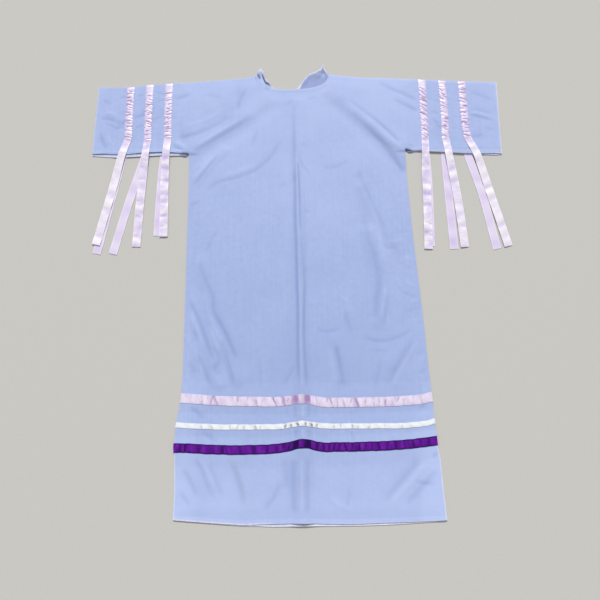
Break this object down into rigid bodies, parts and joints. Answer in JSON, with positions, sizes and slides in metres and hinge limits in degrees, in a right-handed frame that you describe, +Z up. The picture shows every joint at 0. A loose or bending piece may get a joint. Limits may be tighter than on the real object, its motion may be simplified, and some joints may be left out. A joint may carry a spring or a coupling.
{
  "type": "powwow dress laid flat",
  "caption": "Straight powwow dress of plain blue cloth with wide cut-on sleeves, gathered lilac sleeve ribbons with loose tails and ribbon bands round the skirt, laid flat.",
  "frame": {"origin": "on the floor under the middle of the dress, on the flat underside of the back panel", "axes": "+Z up out of the front of the dress, +Y towards the neck, +X to the right as seen from above with the neck away"},
  "size_m": [1.1252, 1.2432, 0.0136],
  "materials": {
    "blue_cloth": "matt plain-weave broadcloth, faint warp streaks, soft creases",
    "lilac_satin": "pale lilac satin ribbon, soft sheen",
    "pink_satin": "pale pink satin ribbon, lightly puckered, soft sheen",
    "white_satin": "white satin ribbon, soft sheen",
    "purple_satin": "deep purple satin ribbon, rippled, soft sheen"
  },
  "bodies": {
    "root": {"front_panel": "blue_cloth", "back_panel": "blue_cloth", "skirt_ribbon_pink_front": "pink_satin", "skirt_ribbon_pink_back": "pink_satin", "skirt_ribbon_white_front": "white_satin", "skirt_ribbon_white_back": "white_satin", "skirt_ribbon_purple_front": "purple_satin", "skirt_ribbon_purple_back": "purple_satin", "left_outer_ribbon_front": "lilac_satin", "left_outer_ribbon_back": "lilac_satin", "left_middle_ribbon_front": "lilac_satin", "left_middle_ribbon_back": "lilac_satin", "left_inner_ribbon_front": "lilac_satin", "left_inner_ribbon_back": "lilac_satin", "right_inner_ribbon_front": "lilac_satin", "right_inner_ribbon_back": "lilac_satin", "right_middle_ribbon_front": "lilac_satin", "right_middle_ribbon_back": "lilac_satin", "right_outer_ribbon_front": "lilac_satin", "right_outer_ribbon_back": "lilac_satin"}
  },
  "joints": []
}
